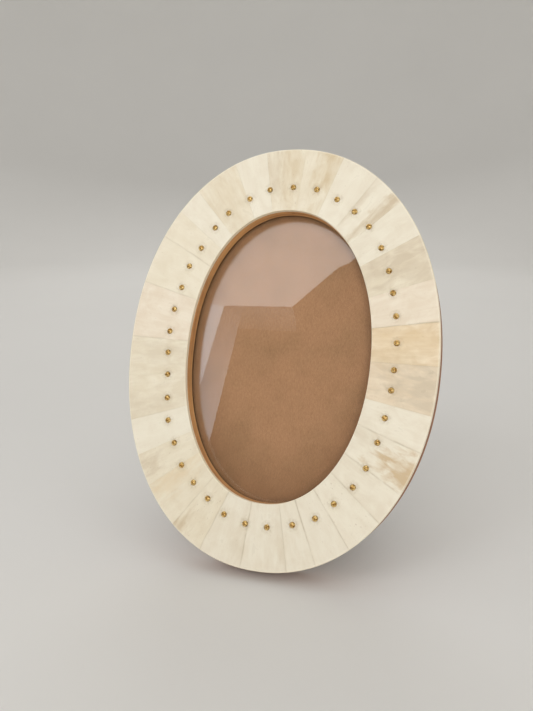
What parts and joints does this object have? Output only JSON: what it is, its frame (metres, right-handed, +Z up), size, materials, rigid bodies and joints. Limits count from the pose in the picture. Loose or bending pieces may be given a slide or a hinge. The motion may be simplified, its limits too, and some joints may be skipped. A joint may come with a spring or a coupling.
{
  "type": "picture frame",
  "caption": "Oval standing picture frame: bone pieces pinned with brass on a wooden core, glass over a card, back board under turn buttons, folding easel strut.",
  "frame": {"origin": "bottom centre of the bounding box, on the surface that the rim and the strut stand on", "axes": "+Z up, -Y to the front where the bone face looks, +X to the viewer's right"},
  "size_m": [0.153, 0.0982, 0.1973],
  "materials": {
    "bone": "polished bone, cream with beige stains and fine grain along each piece",
    "wood": "brown stained wood, satin",
    "glass": "clear polished glass",
    "card": "plain brown kraft card, matte",
    "board": "fibreboard, matte black",
    "steel": "zinc plated, satin",
    "brass": "brass, lightly tarnished"
  },
  "bodies": {
    "frame": {"bone_01": "bone", "bone_02": "bone", "bone_03": "bone", "bone_04": "bone", "bone_05": "bone", "bone_06": "bone", "bone_07": "bone", "bone_08": "bone", "bone_09": "bone", "bone_10": "bone", "bone_11": "bone", "bone_12": "bone", "bone_13": "bone", "bone_14": "bone", "bone_15": "bone", "bone_16": "bone", "bone_17": "bone", "bone_18": "bone", "bone_19": "bone", "bone_20": "bone", "bone_21": "bone", "bone_22": "bone", "bone_23": "bone", "bone_24": "bone", "bone_25": "bone", "bone_26": "bone", "bone_27": "bone", "bone_28": "bone", "bone_29": "bone", "frame_core": "wood", "glass_pane": "glass", "insert_card": "card", "backing_board": "board", "hinge_board_leaf": "steel", "hinge_pin": "steel", "board_rivet_left": "steel", "board_rivet_right": "steel", "button_screw_top_right": "brass", "button_screw_bottom_right": "brass", "button_screw_bottom_left": "brass", "button_screw_top_left": "brass"},
    "strut": {"easel_strut": "board", "hinge_strut_leaf": "steel", "strut_rivet_left": "steel", "strut_rivet_right": "steel"},
    "turn_button_top_right": {"turn_button_top_right": "brass"},
    "turn_button_bottom_right": {"turn_button_bottom_right": "brass"},
    "turn_button_bottom_left": {"turn_button_bottom_left": "brass"},
    "turn_button_top_left": {"turn_button_top_left": "brass"}
  },
  "joints": [
    {"name": "strut_fold", "type": "hinge", "parent": "frame", "child": "strut", "pos_m": [0, 0.01697, 0.1376], "axis": [1, 0, 0], "range_deg": [-31, 0]},
    {"name": "turn_button_top_right_swivel", "type": "hinge", "parent": "frame", "child": "turn_button_top_right", "pos_m": [0.05075, 0.0131, 0.13348], "axis": [0, 0.9444, -0.3289], "continuous": true},
    {"name": "turn_button_bottom_right_swivel", "type": "hinge", "parent": "frame", "child": "turn_button_bottom_right", "pos_m": [0.05075, -0.0131, 0.05824], "axis": [0, 0.9444, -0.3289], "continuous": true},
    {"name": "turn_button_bottom_left_swivel", "type": "hinge", "parent": "frame", "child": "turn_button_bottom_left", "pos_m": [-0.05075, -0.0131, 0.05824], "axis": [0, 0.9444, -0.3289], "continuous": true},
    {"name": "turn_button_top_left_swivel", "type": "hinge", "parent": "frame", "child": "turn_button_top_left", "pos_m": [-0.05075, 0.0131, 0.13348], "axis": [0, 0.9444, -0.3289], "continuous": true}
  ]
}
